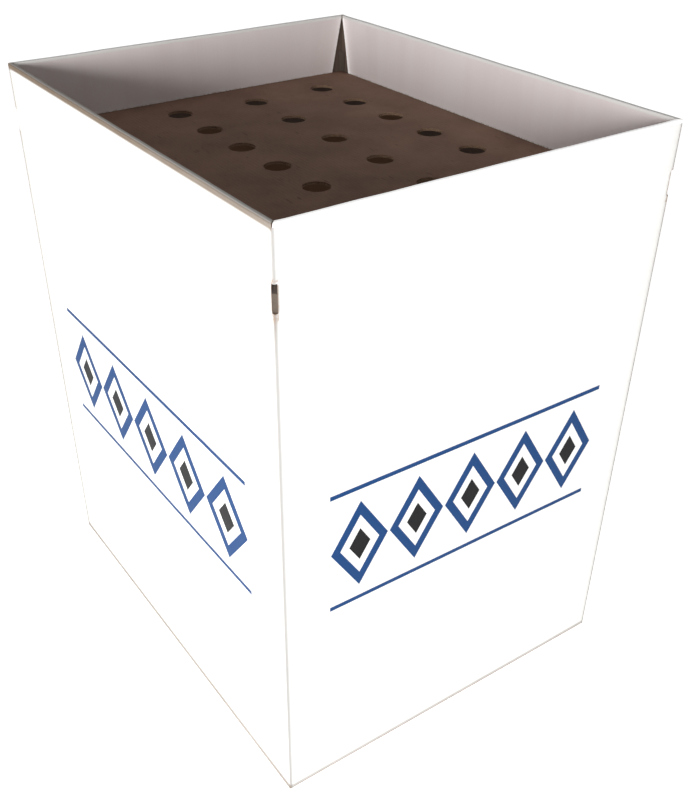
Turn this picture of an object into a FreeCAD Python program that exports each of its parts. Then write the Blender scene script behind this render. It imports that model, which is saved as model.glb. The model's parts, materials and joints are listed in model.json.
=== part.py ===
"""Cardboard floor display bin with a perforated shelf, as one folded white shell and its brown inserts.

Millimetres, +Z up. The origin is on the floor at the middle of the base. The front panel faces -Y and
the left panel faces -X; those are the two outside faces seen in the usual view from the front left.
"""

import FreeCAD
import Part

import math
import os

from FreeCAD import Vector

# Outside size of the bin
HEIGHT = 914.0  # floor to rim
WIDTH = 630.0  # along X, the front and back panels
DEPTH = 776.0  # along Y, the left and right panels

# The two boards
SHELL_BOARD = 3.5  # white-faced single-wall board of the shell
SHELL_FOLD_RADIUS = 2.5  # outside radius of a crease in it
INSERT_BOARD = 4.0  # brown single-wall board of the inserts
INSERT_FOLD_RADIUS = 2.0

# Rim: every wall folds over at the top and comes down inside as a flap
RIM_GAP = 1.0  # air between a wall and its flap
RIM_SLIT = 1.2  # between neighbouring folds, along the corner mitre
FLAP_RELIEF_DEG = 12.5  # slope of a flap's side edges, which leaves an open wedge in each corner
FLAP_END_GAP = 0.6  # from a flap's upper corner to the mitre
FLAP_FOOT_GAP = 0.5  # from a flap's lower edge to the shelf

# Shelf: a shallow tray turned upside down, with staggered rows of round holes
SHELF_DROP = 98.0  # rim to the shelf's top face
SHELF_SKIRT = 60.0  # depth of its turned-down edges below the plate
SHELF_CLEARANCE = 1.0  # to the walls, all round
SKIRT_SLIT = 1.0  # open corner between two turned-down edges
HOLE_DIAMETER = 41.0
HOLE_FIELD_MARGIN = 28.5  # from the shelf's edge to the field that the rows share evenly
ROW_COUNTS = (6, 7, 6, 7)  # holes in each row, from left to right

# Slot in each upright fold, where a fin of the shelf looks out: its corner web, pinched double
SLOT_WIDTH = 6.5
SLOT_HEIGHT = 35.0
SLOT_FOOT_GAP = 0.5  # below the fin
FIN_SIDE_CLEARANCE = 0.6
FIN_RECESS = 0.8  # from the fin's tip in to the walls' outside
FIN_TIP_GAP = 12.0  # from the top of its tip up to the top of the slot
FIN_BACK_RISE = 4.5  # its inner end stands this much higher than the slot, so no light comes in over it

# Base: two long flaps over two short ones, then a loose pad
BASE_LAYER_GAP = 0.5
BASE_MEETING_GAP = 2.0  # between the two flaps that meet in the middle
BASE_SIDE_CUT = 3.0  # each flap is this much narrower than its panel, at each end
PAD_CLEARANCE = 1.5

# Glued joint of the sheet, at the back right corner
GLUE_FLAP_WIDTH = 38.0
GLUE_FLAP_BEVEL_DEG = 15.0
GLUE_FLAP_END_GAP = 12.0  # to the pad below it and to the skirt above it

# Egg-crate under the shelf
CRATE_CLEARANCE = 1.5  # board ends to the walls
CRATE_SKIRT_CLEARANCE = 1.0  # board ends and notches to the shelf's skirt
CRATE_SLOT_CLEARANCE = 0.6  # added to a board's thickness
CRATE_LAP_GAP = 1.0  # between the ends of two crossing slots

# Worked out from the values above
HALF_X = WIDTH / 2
HALF_Y = DEPTH / 2
INNER_X = HALF_X - SHELL_BOARD
INNER_Y = HALF_Y - SHELL_BOARD
RIM_WIDTH = 2 * SHELL_BOARD + RIM_GAP
RIM_FOLD_DEPTH = SHELL_BOARD + RIM_GAP
RING_FOOT = SHELL_BOARD + BASE_LAYER_GAP
FLAP_LENGTH = HALF_X - BASE_MEETING_GAP / 2
PAD_FOOT = RING_FOOT + SHELL_BOARD
PAD_TOP = PAD_FOOT + INSERT_BOARD
SHELF_TOP = HEIGHT - SHELF_DROP
SHELF_FOOT = SHELF_TOP - INSERT_BOARD
SLOT_FOOT = SHELF_FOOT - SLOT_FOOT_GAP
SLOT_TOP = SLOT_FOOT + SLOT_HEIGHT
SKIRT_FOOT = SHELF_FOOT - SHELF_SKIRT
SHELF_X = INNER_X - SHELF_CLEARANCE
SHELF_Y = INNER_Y - SHELF_CLEARANCE
SKIRT_X = SHELF_X - INSERT_BOARD
SKIRT_Y = SHELF_Y - INSERT_BOARD
CORNERS = ((1, 1), (-1, 1), (-1, -1), (1, -1))
GLUED_CORNER = (1, 1)
SQUARE = math.sqrt(2)


def block(x, y, z):
    """A box from (low, high) pairs."""
    return Part.makeBox(x[1] - x[0], y[1] - y[0], z[1] - z[0], Vector(x[0], y[0], z[0]))


def prism(points, along):
    """A closed outline of points, pushed along a vector."""
    outline = Part.makePolygon(list(points) + [points[0]])
    return Part.Face(outline).extrude(along)


def diagonal_bar(corner, x, y, width, reach_in, reach_out, z):
    """A bar of square section along a corner's diagonal, through the point (x, y) of the first quadrant."""
    bar = block((-reach_in, reach_out), (-width / 2, width / 2), z)
    bar.rotate(Vector(0, 0, 0), Vector(0, 0, 1), math.degrees(math.atan2(corner[1], corner[0])))
    bar.translate(Vector(corner[0] * x, corner[1] * y, 0))
    return bar


def quarter_turned(shape, turns):
    """Turns a piece made for the front wall by 0 to 3 quarter turns: to the front, right, back or left."""
    turned = shape.copy()
    turned.rotate(Vector(0, 0, 0), Vector(0, 0, 1), 90 * turns)
    return turned


def round_off(radius, length):
    """What a crease of this radius takes off a square edge that runs along X at y = 0, z = 0."""
    strip = block((-length / 2, length / 2), (0, radius), (0, radius))
    rod = Part.makeCylinder(radius, length, Vector(-length / 2, radius, radius), Vector(1, 0, 0))
    return strip.cut(rod)


def rim_section(half_wall):
    """Outline of a front wall's top fold and hanging flap, looking along X."""
    y = -half_wall
    crown = HEIGHT - SHELL_FOLD_RADIUS
    bend = SHELL_FOLD_RADIUS * (1 - 1 / SQUARE)
    inner_bend = RIM_GAP / 2
    slot_top = HEIGHT - SHELL_BOARD
    foot = SHELF_TOP + FLAP_FOOT_GAP
    slot_low = slot_top - inner_bend

    def at(inward, z):
        return Vector(0, y + inward, z)

    edges = [
        Part.LineSegment(at(0, HEIGHT - RIM_FOLD_DEPTH), at(0, crown)),
        Part.Arc(at(0, crown), at(bend, HEIGHT - bend), at(SHELL_FOLD_RADIUS, HEIGHT)),
        Part.LineSegment(at(SHELL_FOLD_RADIUS, HEIGHT), at(RIM_WIDTH - SHELL_FOLD_RADIUS, HEIGHT)),
        Part.Arc(
            at(RIM_WIDTH - SHELL_FOLD_RADIUS, HEIGHT),
            at(RIM_WIDTH - bend, HEIGHT - bend),
            at(RIM_WIDTH, crown),
        ),
        Part.LineSegment(at(RIM_WIDTH, crown), at(RIM_WIDTH, foot)),
        Part.LineSegment(at(RIM_WIDTH, foot), at(SHELL_BOARD + RIM_GAP, foot)),
        Part.LineSegment(at(SHELL_BOARD + RIM_GAP, foot), at(SHELL_BOARD + RIM_GAP, slot_low)),
        Part.Arc(
            at(SHELL_BOARD + RIM_GAP, slot_low),
            at(SHELL_BOARD + inner_bend, slot_top),
            at(SHELL_BOARD, slot_low),
        ),
        Part.LineSegment(at(SHELL_BOARD, slot_low), at(SHELL_BOARD, HEIGHT - RIM_FOLD_DEPTH)),
        Part.LineSegment(at(SHELL_BOARD, HEIGHT - RIM_FOLD_DEPTH), at(0, HEIGHT - RIM_FOLD_DEPTH)),
    ]
    return Part.Face(Part.Wire([edge.toShape() for edge in edges]))


def rim(half_wall, half_length):
    """The top fold and hanging flap of a front wall, mitred at both ends, with relieved side edges."""
    folded = rim_section(half_wall)
    folded.translate(Vector(-half_length, 0, 0))
    folded = folded.extrude(Vector(2 * half_length, 0, 0))

    foot = SHELF_TOP
    outer = half_length - RIM_SLIT / SQUARE
    inner = outer - RIM_WIDTH
    plan = [
        Vector(-outer, -half_wall, foot),
        Vector(outer, -half_wall, foot),
        Vector(inner, RIM_WIDTH - half_wall, foot),
        Vector(-inner, RIM_WIDTH - half_wall, foot),
    ]
    mitred = prism(plan, Vector(0, 0, HEIGHT - foot))

    fold_foot = HEIGHT - RIM_FOLD_DEPTH
    flap_top = inner - FLAP_END_GAP
    flap_foot = flap_top - math.tan(math.radians(FLAP_RELIEF_DEG)) * (fold_foot - foot)
    elevation = [
        Vector(-half_length, -half_wall, HEIGHT),
        Vector(-half_length, -half_wall, fold_foot),
        Vector(-flap_top, -half_wall, fold_foot),
        Vector(-flap_foot, -half_wall, foot),
        Vector(flap_foot, -half_wall, foot),
        Vector(flap_top, -half_wall, fold_foot),
        Vector(half_length, -half_wall, fold_foot),
        Vector(half_length, -half_wall, HEIGHT),
    ]
    relieved = prism(elevation, Vector(0, RIM_WIDTH, 0))
    return folded.common(mitred).common(relieved)


def wall_ring():
    """The four upright walls from the base flaps to the foot of the rim folds."""
    top = HEIGHT - RIM_FOLD_DEPTH
    outside = block((-HALF_X, HALF_X), (-HALF_Y, HALF_Y), (RING_FOOT, top))
    inside = block((-INNER_X, INNER_X), (-INNER_Y, INNER_Y), (RING_FOOT, top))
    ring = outside.cut(inside)
    for side in (0, 2):
        crease = round_off(SHELL_FOLD_RADIUS, WIDTH)
        crease.translate(Vector(0, -HALF_Y, RING_FOOT))
        ring = ring.cut(quarter_turned(crease, side))
    return ring


def outer_base_flap():
    """The base flap of a side wall, the lower layer, with the stretch of wall that reaches down to it."""
    half_width = HALF_Y - BASE_SIDE_CUT
    wall = block((-half_width, half_width), (-HALF_X, SHELL_BOARD - HALF_X), (0, RING_FOOT))
    flap = block((-half_width, half_width), (-HALF_X, FLAP_LENGTH - HALF_X), (0, SHELL_BOARD))
    crease = round_off(SHELL_FOLD_RADIUS, DEPTH)
    crease.translate(Vector(0, -HALF_X, 0))
    return wall.fuse(flap).cut(crease)


def inner_base_flap():
    """The base flap of the front wall, the upper layer."""
    half_width = INNER_X - BASE_SIDE_CUT
    return block(
        (-half_width, half_width),
        (SHELL_BOARD - HALF_Y, FLAP_LENGTH - HALF_Y),
        (RING_FOOT, RING_FOOT + SHELL_BOARD),
    )


def glue_flap():
    """The sheet's last edge, turned in behind the back wall and glued there."""
    low = PAD_TOP + GLUE_FLAP_END_GAP
    high = SKIRT_FOOT - GLUE_FLAP_END_GAP
    slant = GLUE_FLAP_WIDTH * math.tan(math.radians(GLUE_FLAP_BEVEL_DEG))
    y = INNER_Y - SHELL_BOARD
    outline = [
        Vector(INNER_X, y, low),
        Vector(INNER_X, y, high),
        Vector(INNER_X - GLUE_FLAP_WIDTH, y, high - slant),
        Vector(INNER_X - GLUE_FLAP_WIDTH, y, low + slant),
    ]
    return prism(outline, Vector(0, SHELL_BOARD, 0))


def upright_crease(corner, x, y, z):
    """What a rounded upright fold takes off the square corner at (x, y), from one height to another."""
    crease = round_off(SHELL_FOLD_RADIUS, z[1] - z[0])
    crease.rotate(Vector(0, 0, 0), Vector(0, 1, 0), 90)
    crease.rotate(Vector(0, 0, 0), Vector(0, 0, 1), 90 * (CORNERS.index(corner) + 2))
    crease.translate(Vector(x, y, (z[0] + z[1]) / 2))
    return crease


def upright_folds():
    """What the upright folds take off the square corners; the back wall's glued end stays square."""
    rim_foot = HEIGHT - RIM_FOLD_DEPTH
    taken = [
        upright_crease(corner, corner[0] * HALF_X, corner[1] * HALF_Y, (RING_FOOT, HEIGHT))
        for corner in CORNERS
        if corner != GLUED_CORNER
    ]
    taken.append(upright_crease(GLUED_CORNER, HALF_X, INNER_Y, (RING_FOOT, rim_foot)))
    taken.append(upright_crease(GLUED_CORNER, HALF_X, HALF_Y, (rim_foot, HEIGHT)))
    return taken


def corner_slots():
    """The four slots in the upright folds, level with the shelf."""
    return [
        diagonal_bar(
            corner,
            HALF_X,
            HALF_Y,
            SLOT_WIDTH,
            RIM_WIDTH,
            SHELL_BOARD,
            (SLOT_FOOT, SLOT_TOP),
        )
        for corner in CORNERS
    ]


def outer_shell():
    """The white shell, one folded and glued sheet."""
    pieces = [
        rim(HALF_Y, HALF_X),
        quarter_turned(rim(HALF_X, HALF_Y), 1),
        quarter_turned(rim(HALF_Y, HALF_X), 2),
        quarter_turned(rim(HALF_X, HALF_Y), 3),
        quarter_turned(outer_base_flap(), 1),
        quarter_turned(outer_base_flap(), 3),
        inner_base_flap(),
        quarter_turned(inner_base_flap(), 2),
        glue_flap(),
    ]
    shell = wall_ring().fuse(pieces)
    return shell.cut(upright_folds() + corner_slots()).removeSplitter()


def hole_centres():
    """(x, y) of every hole: the rows share the field evenly, and so do the holes of each row."""
    field_x = 2 * (SHELF_X - HOLE_FIELD_MARGIN)
    field_y = 2 * (SHELF_Y - HOLE_FIELD_MARGIN)
    row_pitch = field_x / len(ROW_COUNTS)
    centres = []
    for row, count in enumerate(ROW_COUNTS):
        x = (row + 0.5) * row_pitch - field_x / 2
        pitch = field_y / count
        for hole in range(count):
            centres.append((x, (hole + 0.5) * pitch - field_y / 2))
    return centres


def corner_fin(corner):
    """The upright fin on a corner's diagonal; its sloping top rises inwards behind the slot."""
    width = SLOT_WIDTH - 2 * FIN_SIDE_CLEARANCE
    tip = -width / 2 - SQUARE * FIN_RECESS
    back = -SQUARE * (SHELL_BOARD + SHELF_CLEARANCE + INSERT_BOARD)
    outline = [
        Vector(back, -width / 2, SHELF_FOOT),
        Vector(tip, -width / 2, SHELF_FOOT),
        Vector(tip, -width / 2, SLOT_TOP - FIN_TIP_GAP),
        Vector(back, -width / 2, SLOT_TOP + FIN_BACK_RISE),
    ]
    fin = prism(outline, Vector(0, width, 0))
    fin.rotate(Vector(0, 0, 0), Vector(0, 0, 1), math.degrees(math.atan2(corner[1], corner[0])))
    fin.translate(Vector(corner[0] * HALF_X, corner[1] * HALF_Y, 0))
    return fin


def perforated_shelf():
    """The brown shelf: a holed plate with its four edges turned down and a fin at each corner."""
    tray = block((-SHELF_X, SHELF_X), (-SHELF_Y, SHELF_Y), (SKIRT_FOOT, SHELF_TOP))
    top_edges = [
        edge
        for edge in tray.Edges
        if all(abs(vertex.Z - SHELF_TOP) < INSERT_BOARD / 2 for vertex in edge.Vertexes)
    ]
    tray = tray.makeFillet(INSERT_FOLD_RADIUS, top_edges)
    hollow = block((-SKIRT_X, SKIRT_X), (-SKIRT_Y, SKIRT_Y), (SKIRT_FOOT, SHELF_FOOT))
    slits = [
        diagonal_bar(
            corner,
            SHELF_X,
            SHELF_Y,
            SKIRT_SLIT,
            2 * SQUARE * INSERT_BOARD,
            INSERT_BOARD,
            (SKIRT_FOOT, SHELF_FOOT),
        )
        for corner in CORNERS
    ]
    holes = [
        Part.makeCylinder(HOLE_DIAMETER / 2, INSERT_BOARD, Vector(x, y, SHELF_FOOT))
        for x, y in hole_centres()
    ]
    plate = tray.cut([hollow] + slits)
    return plate.fuse([corner_fin(corner) for corner in CORNERS]).cut(holes).removeSplitter()


def cross_board_place():
    """How far in front of and behind the middle the two cross boards stand, clear of every hole."""
    long_row = max(ROW_COUNTS)
    short_row = min(ROW_COUNTS)
    field_y = 2 * (SHELF_Y - HOLE_FIELD_MARGIN)
    return (field_y / long_row + 1.5 * field_y / short_row) / 2


def crate_outline(half_wall, half_skirt, slot_places, slots_from_top):
    """(along, z) outline of an egg-crate board: notched under the skirt and slotted where others cross."""
    end = half_wall - CRATE_CLEARANCE
    notch_end = half_skirt - CRATE_SKIRT_CLEARANCE
    notch_foot = SKIRT_FOOT - CRATE_SKIRT_CLEARANCE
    lap = (PAD_TOP + SHELF_FOOT) / 2
    half_slot = (INSERT_BOARD + CRATE_SLOT_CLEARANCE) / 2
    top = [(-end, notch_foot), (-notch_end, notch_foot), (-notch_end, SHELF_FOOT)]
    bottom = [(end, PAD_TOP)]
    for place in slot_places:
        if slots_from_top:
            floor = lap - CRATE_LAP_GAP / 2
            top += [
                (place - half_slot, SHELF_FOOT),
                (place - half_slot, floor),
                (place + half_slot, floor),
                (place + half_slot, SHELF_FOOT),
            ]
        else:
            roof = lap + CRATE_LAP_GAP / 2
            bottom += [
                (place + half_slot, PAD_TOP),
                (place + half_slot, roof),
                (place - half_slot, roof),
                (place - half_slot, PAD_TOP),
            ]
    top += [(notch_end, SHELF_FOOT), (notch_end, notch_foot), (end, notch_foot)]
    bottom += [(-end, PAD_TOP)]
    return top + bottom


def long_divider():
    """The egg-crate board that runs front to back between the middle rows."""
    outline = crate_outline(INNER_Y, SKIRT_Y, (-cross_board_place(), cross_board_place()), True)
    points = [Vector(-INSERT_BOARD / 2, along, z) for along, z in outline]
    return prism(points, Vector(INSERT_BOARD, 0, 0))


def cross_divider(y):
    """An egg-crate board that runs left to right at y."""
    outline = crate_outline(INNER_X, SKIRT_X, (0,), False)
    points = [Vector(along, y - INSERT_BOARD / 2, z) for along, z in outline]
    return prism(points, Vector(0, INSERT_BOARD, 0))


def base_pad():
    """The loose pad on the base flaps."""
    x = INNER_X - PAD_CLEARANCE
    y = INNER_Y - PAD_CLEARANCE
    return block((-x, x), (-y, y), (PAD_FOOT, PAD_TOP))


NODES = {
    "outer_shell": outer_shell(),
    "perforated_shelf": perforated_shelf(),
    "long_divider": long_divider(),
    "front_cross_divider": cross_divider(-cross_board_place()),
    "back_cross_divider": cross_divider(cross_board_place()),
    "base_pad": base_pad(),
}

os.makedirs("parts", exist_ok=True)
for name, shape in NODES.items():
    shape.exportStep("parts/" + name + ".step")
    print(name, "solids", len(shape.Solids), "valid", shape.isValid(), "volume", round(shape.Volume))
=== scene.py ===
# %% [markdown]
# # A cardboard display bin, made board by board
# The real thing is a tall open bin for a shop floor. One white-faced sheet is folded into four walls,
# rolled over at the top into a flat rim, and hangs down inside as four flaps. A brown shelf with rows of
# round holes sits a little below the rim. The measured model is loaded first and never moved: it says
# where everything is, and every piece below is made in its place, in metres, with the floor at z = 0.

# %% Load the measured model
import json
import math
import bpy
from mathutils import Matrix, Vector, geometry, noise


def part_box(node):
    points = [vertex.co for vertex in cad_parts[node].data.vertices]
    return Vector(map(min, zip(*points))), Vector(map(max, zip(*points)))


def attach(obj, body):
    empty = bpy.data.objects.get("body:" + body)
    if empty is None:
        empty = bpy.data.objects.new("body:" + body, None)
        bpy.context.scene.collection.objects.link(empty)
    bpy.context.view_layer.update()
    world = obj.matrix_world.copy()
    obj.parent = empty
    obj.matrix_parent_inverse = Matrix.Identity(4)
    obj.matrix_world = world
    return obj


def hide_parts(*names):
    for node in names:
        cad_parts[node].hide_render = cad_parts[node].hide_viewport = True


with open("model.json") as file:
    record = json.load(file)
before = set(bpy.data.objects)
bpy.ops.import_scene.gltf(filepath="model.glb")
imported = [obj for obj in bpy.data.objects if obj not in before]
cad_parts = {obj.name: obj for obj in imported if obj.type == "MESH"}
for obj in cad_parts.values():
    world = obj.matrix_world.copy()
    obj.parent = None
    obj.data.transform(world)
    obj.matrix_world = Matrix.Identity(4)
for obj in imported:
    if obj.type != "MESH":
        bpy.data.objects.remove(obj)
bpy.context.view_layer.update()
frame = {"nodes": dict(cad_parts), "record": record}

print("nodes:", sorted(frame["nodes"]))

# %% [markdown]
# ## Sizes
# Board is measured in millimetres, so the script thinks in millimetres and scales once, when a mesh is
# made. The outside sizes are read from the measured model. Only the folded sheet's thicknesses and small
# gaps are written out here.

# %% Sizes of the boards
MM = 0.001
_, shell_high = (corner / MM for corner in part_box("outer_shell"))
shelf_low, shelf_high = (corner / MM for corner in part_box("perforated_shelf"))
HALF_X, HALF_Y, HEIGHT = shell_high.x, shell_high.y, shell_high.z
BOARD = 3.5            # single-wall board of the shell
GAP = 1.0              # air between a wall and the flap that hangs from it
FOLD = 2.5             # outside radius of its folds
BRIM = 2 * BOARD + GAP           # width of the flat rim
RIM_FOOT = HEIGHT - BOARD - GAP  # where a wall ends and its rim fold starts
INSERT = 4.0           # brown board of the inserts
patterns = [mount for mount in frame["record"]["mounts"] if mount["kind"] == "bolt_pattern"]
SHELF_TOP = patterns[0]["pos_m"][2] / MM         # the holes are measured on the shelf's top face
FLAP_FOOT = SHELF_TOP + 0.5
print("bin", round(2 * HALF_X), "x", round(2 * HALF_Y), "x", round(HEIGHT), "mm")
print("shelf from", round(shelf_low.z), "to", round(shelf_high.z), "mm, its plate at", round(SHELF_TOP))

# %% [markdown]
# ## Camera
# The picture is taken from above one corner. The camera is placed by its azimuth and elevation, turned by
# a trace of roll, and given the lens that makes the far rim shrink as it should. A small shift slides the
# frame without changing the perspective.

# %% Set up the camera
AZIMUTH, ELEVATION, ROLL = (math.radians(angle) for angle in (-34.426, 34.611, 0.116))
LENS = 44.756
SHIFT = (0.01587, 0.05452)
CAMERA_PLACE = (-0.80222, -1.20658, 1.30113)

back = Vector((
    math.sin(AZIMUTH) * math.cos(ELEVATION),
    -math.cos(AZIMUTH) * math.cos(ELEVATION),
    math.sin(ELEVATION),
))
right = Vector((math.cos(AZIMUTH), math.sin(AZIMUTH), 0))
up = back.cross(right)
rolled_right = right * math.cos(ROLL) + up * math.sin(ROLL)
rolled_up = up * math.cos(ROLL) - right * math.sin(ROLL)


def placed(name, data):
    """A new object in the scene."""
    thing = bpy.data.objects.new(name, data)
    bpy.context.scene.collection.objects.link(thing)
    return thing


camera = placed("camera", bpy.data.cameras.new("camera"))
camera.data.lens = LENS
camera.data.sensor_width = 36
camera.data.shift_x, camera.data.shift_y = SHIFT
camera.matrix_world = Matrix.Translation(CAMERA_PLACE) @ Matrix(
    (rolled_right, rolled_up, back)
).transposed().to_4x4()
bpy.context.scene.camera = camera
print("camera", [round(value, 3) for value in camera.location])

# %% [markdown]
# ## Writing shaders and node trees as sums
# A node tree is easier to read as arithmetic. `Value` wraps one output socket, and Python's operators add
# the Math nodes. `Tree.node` makes any other node: its settings, then its sockets' values or links.

# %% Node helpers
def through(operation):
    """A method that puts a value, and perhaps another, through a Math node."""
    return lambda self, *others: self.math(operation, self, *others)


def pick(sockets, key):
    """A node's socket, by its number or its identifier."""
    return sockets[key] if isinstance(key, int) else next(one for one in sockets if one.identifier == key)


class Value:
    """An output socket that can be added, multiplied and compared like a number."""

    def __init__(self, tree, socket):
        self.tree, self.socket = tree, socket

    def math(self, operation, *values):
        return self.tree.node("ShaderNodeMath", {"operation": operation}, dict(enumerate(values)))

    __add__, __sub__, __mul__, __truediv__ = map(through, ("ADD", "SUBTRACT", "MULTIPLY", "DIVIDE"))
    sine, size, above, below = map(through, ("SINE", "ABSOLUTE", "GREATER_THAN", "LESS_THAN"))

    def __rsub__(self, other):
        return self.math("SUBTRACT", other, self)

    def ramp(self, low, high, start=0.0, end=1.0):
        """Runs from start to end while this value runs from low to high, and stays there beyond."""
        return self.tree.node(
            "ShaderNodeMapRange",
            {"interpolation_type": "SMOOTHSTEP"},
            {"Value": self, "From Min": low, "From Max": high, "To Min": start, "To Max": end},
        )


class Tree:
    """A node tree that is being written."""

    def __init__(self, nodes):
        self.nodes = nodes

    def node(self, kind, settings=None, values=None, output=0):
        node = self.nodes.nodes.new(kind)
        for name, setting in (settings or {}).items():
            setattr(node, name, setting)
        for key, value in (values or {}).items():
            socket = pick(node.inputs, key)
            if isinstance(value, Value):
                self.nodes.links.new(value.socket, socket)
            else:
                socket.default_value = value
        return Value(self, pick(node.outputs, output))

    def blend(self, share, first, second):
        """A colour that goes from the first to the second as share goes from 0 to 1."""
        return self.node(
            "ShaderNodeMix",
            {"data_type": "RGBA"},
            {"Factor_Float": share, "A_Color": first, "B_Color": second},
            "Result_Color",
        )

    def grain(self, place, scale, detail=3.0, roughness=0.55):
        """Soft noise from 0 to 1."""
        return self.node(
            "ShaderNodeTexNoise",
            {"noise_dimensions": "3D"},
            {"Vector": place, "Scale": scale, "Detail": detail, "Roughness": roughness},
        )

    def axes(self, place):
        return [self.node("ShaderNodeSeparateXYZ", {}, {"Vector": place}, axis) for axis in "XYZ"]

    def stretched(self, place, scale):
        """The same place with each axis scaled, so that noise becomes streaks."""
        return self.node("ShaderNodeVectorMath", {"operation": "MULTIPLY"}, {0: place, 1: scale})


def finish_of(name, paint):
    """A material: paint(tree, shader) writes its nodes round one Principled shader."""
    material = bpy.data.materials.new(name)
    material.use_nodes = True
    shader = next(node for node in material.node_tree.nodes if node.type == "BSDF_PRINCIPLED")
    paint(Tree(material.node_tree), shader)
    print("finish", name, len(material.node_tree.nodes), "nodes")
    return material


def link(node, name, value):
    node.id_data.links.new(value.socket, node.inputs[name])


def color(hex_color):
    """An sRGB colour such as #f4f1ea as the linear one that Blender works in."""
    parts = [int(hex_color[start:start + 2], 16) / 255 for start in (1, 3, 5)]
    linear = [part / 12.92 if part <= 0.04045 else ((part + 0.055) / 1.055) ** 2.4 for part in parts]
    return (*linear, 1.0)

# %% [markdown]
# ## Board finishes
# The outside is white-coated paper. Its real traits are small: fibres under the coating, a faint
# washboard where the flutes press through, and creases where the coating has cracked and shows kraft.
# The pattern follows the flat blank, so it reads the mesh's UV map, which is the blank measured in
# metres. Five attributes of the mesh say where it is creased, cut, rubbed or given painted shade, hung
# inside, or given a painted highlight that glows. Painted shade also greys the folds and the flaps inside.

# %% White coated paper
MARKS = ("crease", "cut", "worn", "hang", "shine")
FLUTE_PITCH = 0.0073
PRINT_SHARE = 0.77     # how much of each panel's width the printed border takes
PRINT_HEIGHT = 0.435   # of its middle, in metres
PRINT_TALL = 0.075     # half a lozenge
PRINT_RULES = (0.092, 0.099)     # the two lines: from and to, above and below the middle
LOZENGES = 5
WHITE = color("#f5f4f2")
SHADED_INNER_WHITE = color("#e0d5d3")      # painted shade: a darker white for the flaps inside, which never see the full light
INK_BLUE = color("#043d74")
INK_DARK = color("#0c0b0e")
# The next brown serves rubbed wear at the foot and slots, and painted shade on the rims.
WEAR_AND_SHADE_BROWN = color("#796a5b")
# The next grey is painted shade along the folds.
FOLD_SHADE_GREY = color("#8a8684")
KRAFT = color("#9b7b62")
KRAFT_DEEP = color("#7c5f4b")
SCUFF = color("#b3a296")


def blank_place(tree):
    return tree.node("ShaderNodeUVMap", {"uv_map": "blank"}, {}, "UV")


def own_place(tree):
    return tree.node("ShaderNodeTexCoord", {}, {}, "Object")


def attribute(tree, name):
    return tree.node("ShaderNodeAttribute", {"attribute_name": name}, {}, "Fac")


def washboard(tree, place, pitch=FLUTE_PITCH):
    """Parallel ribs along the flutes, one for each wave of the core."""
    across, _, _ = tree.axes(place)
    wander = tree.grain(place, 9.0, 2.0) * 0.002
    return ((across + wander) * (2 * math.pi / pitch)).sine() * 0.5 + 0.5


def ornament(tree):
    """Two masks of a plain printed border of lozenges: its blue lines and its dark hearts."""
    x, y, z = tree.axes(own_place(tree))
    side = x.size().above((HALF_X - 3) * MM)
    along = (x + side * (y - x)) / (side * ((HALF_Y - HALF_X) * MM) + HALF_X * MM)
    rise = (z - PRINT_HEIGHT).size()
    inside = along.size().below(PRINT_SHARE) * rise.below(0.2)
    step = PRINT_SHARE / LOZENGES
    off = along.math("PINGPONG", along, step)
    spread = off / step + rise / PRINT_TALL
    ring = spread.above(0.66) * spread.below(0.97)
    rule = rise.above(PRINT_RULES[0]) * rise.below(PRINT_RULES[1])
    return (ring + rule).ramp(0.0, 1.0) * inside, spread.below(0.36) * inside


def bump(tree, height, strength, distance):
    return tree.node(
        "ShaderNodeBump", {}, {"Strength": strength, "Distance": distance, "Height": height}
    )


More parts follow.
